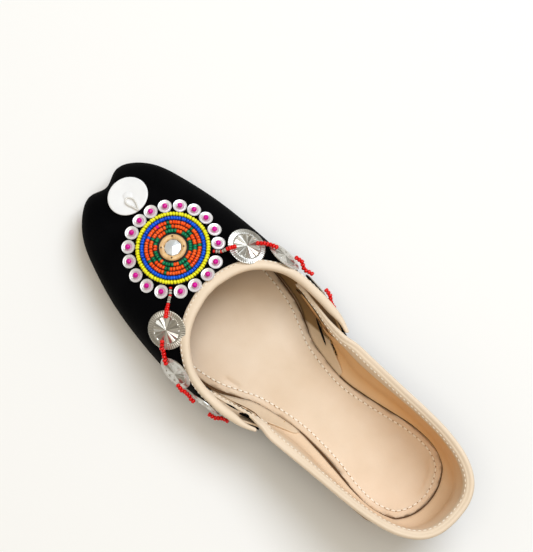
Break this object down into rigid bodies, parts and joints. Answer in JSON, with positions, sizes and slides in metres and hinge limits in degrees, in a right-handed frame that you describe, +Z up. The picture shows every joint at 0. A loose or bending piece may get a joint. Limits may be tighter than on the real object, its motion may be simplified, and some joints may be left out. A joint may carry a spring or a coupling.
{
  "type": "mojari shoe",
  "caption": "Flat slip-on shoe with a black velvet vamp, bound leather edges, a bead and mirror rosette, dished sequins and pressed metal discs along the throat.",
  "frame": {"origin": "middle of the bounding box, on the floor plane under the sole", "axes": "+Y from heel to toe, +X to the right of the shoe seen from above, +Z up"},
  "size_m": [0.0923, 0.2508, 0.0578],
  "materials": {
    "velvet_black": "soft black velvet pile",
    "leather_tan": "smooth matt tan lining leather",
    "leather_sole": "natural sole leather",
    "leather_heel_stack": "stacked heel leather, darker",
    "leather_binding": "rolled tan binding leather with a soft sheen",
    "felt_black": "black felt",
    "bead_yellow": "opaque yellow glass beads",
    "bead_blue": "opaque blue glass beads",
    "bead_orange": "opaque orange glass beads with green spokes",
    "bead_red": "opaque red glass beads",
    "silver_sequin": "bright dished sequin with a pink bead",
    "silver_fan_disc": "pressed thin silver-coloured disc",
    "white_disc": "flat white disc, half matt",
    "wood_ring": "turned light wood, waxed",
    "mirror_gem": "faceted mirrored gem",
    "clear_loop": "clear bead wire"
  },
  "bodies": {
    "root": {"outsole": "leather_sole", "heel_lift": "leather_heel_stack", "insole": "leather_tan", "upper": "velvet_black", "vamp_binding": "leather_binding", "quarter_binding": "leather_binding", "rosette_backing": "felt_black", "bead_ring_yellow": "bead_yellow", "bead_ring_blue": "bead_blue", "bead_ring_outer": "bead_orange", "bead_ring_middle": "bead_orange", "bead_ring_inner": "bead_orange", "wood_ring": "wood_ring", "mirror_gem": "mirror_gem", "sequin_01": "silver_sequin", "sequin_02": "silver_sequin", "sequin_03": "silver_sequin", "sequin_04": "silver_sequin", "sequin_05": "silver_sequin", "sequin_06": "silver_sequin", "sequin_07": "silver_sequin", "sequin_08": "silver_sequin", "sequin_09": "silver_sequin", "sequin_10": "silver_sequin", "sequin_11": "silver_sequin", "sequin_12": "silver_sequin", "sequin_13": "silver_sequin", "sequin_14": "silver_sequin", "sequin_15": "silver_sequin", "sequin_16": "silver_sequin", "sequin_17": "silver_sequin", "sequin_18": "silver_sequin", "toe_disc": "white_disc", "toe_loop": "clear_loop", "fan_disc_right_1": "silver_fan_disc", "fan_disc_right_2": "silver_fan_disc", "fan_disc_right_3": "silver_fan_disc", "bead_string_right_1": "bead_red", "bead_string_right_2": "bead_red", "bead_string_right_3": "bead_red", "bead_string_right_4": "bead_red", "fan_disc_left_1": "silver_fan_disc", "fan_disc_left_2": "silver_fan_disc", "fan_disc_left_3": "silver_fan_disc", "bead_string_left_1": "bead_red", "bead_string_left_2": "bead_red", "bead_string_left_3": "bead_red", "bead_string_left_4": "bead_red"}
  },
  "joints": []
}
